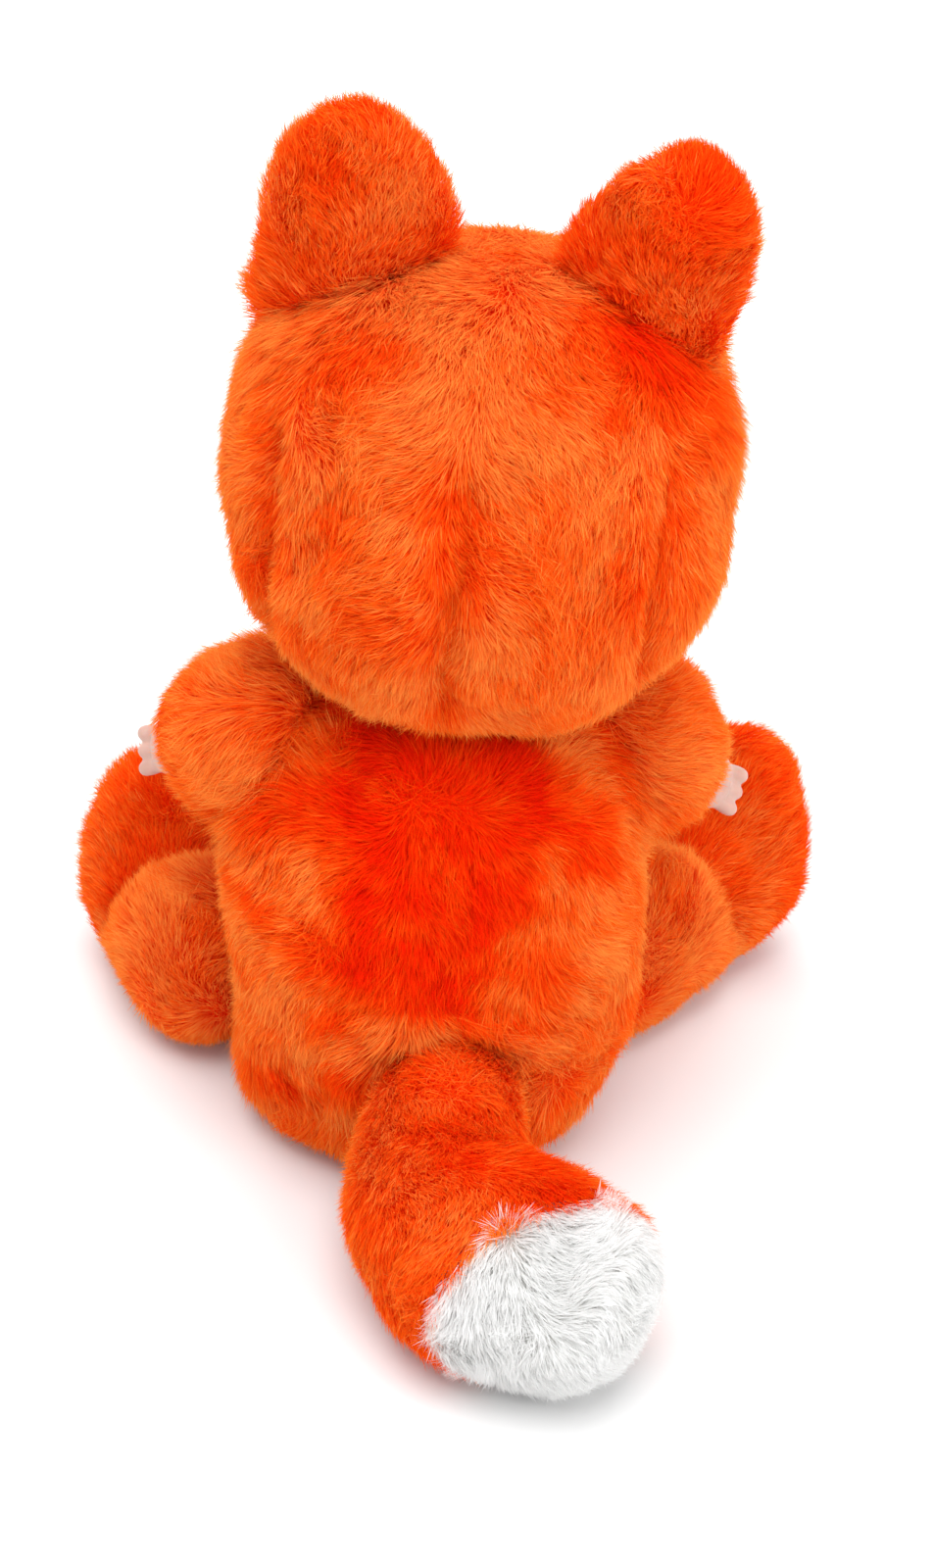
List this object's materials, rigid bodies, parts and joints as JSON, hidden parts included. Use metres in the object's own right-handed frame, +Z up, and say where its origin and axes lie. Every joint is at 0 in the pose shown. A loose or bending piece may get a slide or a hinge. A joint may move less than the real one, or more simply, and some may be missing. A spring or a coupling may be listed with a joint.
{
  "type": "jointed plush fox",
  "caption": "Stuffed plush fox that sits on the floor, with disc-jointed head, arms and legs, moulded vinyl hands and a thick brush of a tail that lifts.",
  "frame": {"origin": "middle of the torso's footprint on the floor that the fox sits on", "axes": "+Z up, -Y is where the fox's body faces, +X is the fox's own left"},
  "size_m": [0.1525, 0.1814, 0.2124],
  "materials": {
    "orange_plush": "long orange plush pile",
    "white_plush": "long white plush pile",
    "cream_plush": "short cream plush pile",
    "vinyl": "soft satin vinyl",
    "black_plastic": "glossy",
    "white_plastic": "moulded, plain",
    "fibre_fill": "loose polyester fibre",
    "bag_cloth": "plain woven"
  },
  "bodies": {
    "torso": {"torso_skin": "orange_plush", "belly_panel": "cream_plush", "torso_stuffing": "fibre_fill", "pellet_bag": "bag_cloth", "neck_plain_disc": "white_plastic", "shoulder_left_plain_disc": "white_plastic", "shoulder_right_plain_disc": "white_plastic", "hip_left_plain_disc": "white_plastic", "hip_right_plain_disc": "white_plastic"},
    "head": {"head_skin": "orange_plush", "head_stuffing": "fibre_fill", "cheek_left": "cream_plush", "cheek_right": "cream_plush", "muzzle_skin": "cream_plush", "muzzle_stuffing": "fibre_fill", "nose": "black_plastic", "nose_washer": "white_plastic", "eye_left": "black_plastic", "eye_right": "black_plastic", "eye_washer_left": "white_plastic", "eye_washer_right": "white_plastic", "ear_left": "orange_plush", "ear_right": "orange_plush", "ear_inner_left": "cream_plush", "ear_inner_right": "cream_plush", "neck_stem_disc": "white_plastic", "neck_lock_washer": "white_plastic"},
    "arm_left": {"arm_skin_left": "orange_plush", "arm_stuffing_left": "fibre_fill", "hand_left": "vinyl", "cuff_tie_left": "white_plastic", "shoulder_left_stem_disc": "white_plastic", "shoulder_left_lock_washer": "white_plastic"},
    "arm_right": {"arm_skin_right": "orange_plush", "arm_stuffing_right": "fibre_fill", "hand_right": "vinyl", "cuff_tie_right": "white_plastic", "shoulder_right_stem_disc": "white_plastic", "shoulder_right_lock_washer": "white_plastic"},
    "leg_left": {"leg_skin_left": "orange_plush", "leg_stuffing_left": "fibre_fill", "sole_pad_left": "cream_plush", "hip_left_stem_disc": "white_plastic", "hip_left_lock_washer": "white_plastic"},
    "leg_right": {"leg_skin_right": "orange_plush", "leg_stuffing_right": "fibre_fill", "sole_pad_right": "cream_plush", "hip_right_stem_disc": "white_plastic", "hip_right_lock_washer": "white_plastic"},
    "tail": {"tail_skin": "orange_plush", "tail_tip": "white_plush", "tail_stuffing": "fibre_fill"}
  },
  "joints": [
    {"name": "neck_turn", "type": "hinge", "parent": "torso", "child": "head", "pos_m": [0, -0.004, 0.094], "axis": [0, 0, 1], "continuous": true},
    {"name": "shoulder_left_turn", "type": "hinge", "parent": "torso", "child": "arm_left", "pos_m": [0.0306, -0.01, 0.079], "axis": [0.8824, -0.2364, 0.4067], "range_deg": [-75, 105]},
    {"name": "shoulder_right_turn", "type": "hinge", "parent": "torso", "child": "arm_right", "pos_m": [-0.0306, -0.01, 0.079], "axis": [-0.8824, -0.2364, 0.4067], "range_deg": [-81, 99]},
    {"name": "hip_left_swing", "type": "hinge", "parent": "torso", "child": "leg_left", "pos_m": [0.0372, -0.013, 0.02], "axis": [1, 0, 0], "range_deg": [-12, 95]},
    {"name": "hip_right_swing", "type": "hinge", "parent": "torso", "child": "leg_right", "pos_m": [-0.0372, -0.013, 0.02], "axis": [1, 0, 0], "range_deg": [-12, 95]},
    {"name": "tail_lift", "type": "hinge", "parent": "torso", "child": "tail", "pos_m": [0, 0.0345, 0.027], "axis": [1, 0, 0], "range_deg": [0, 25]}
  ]
}
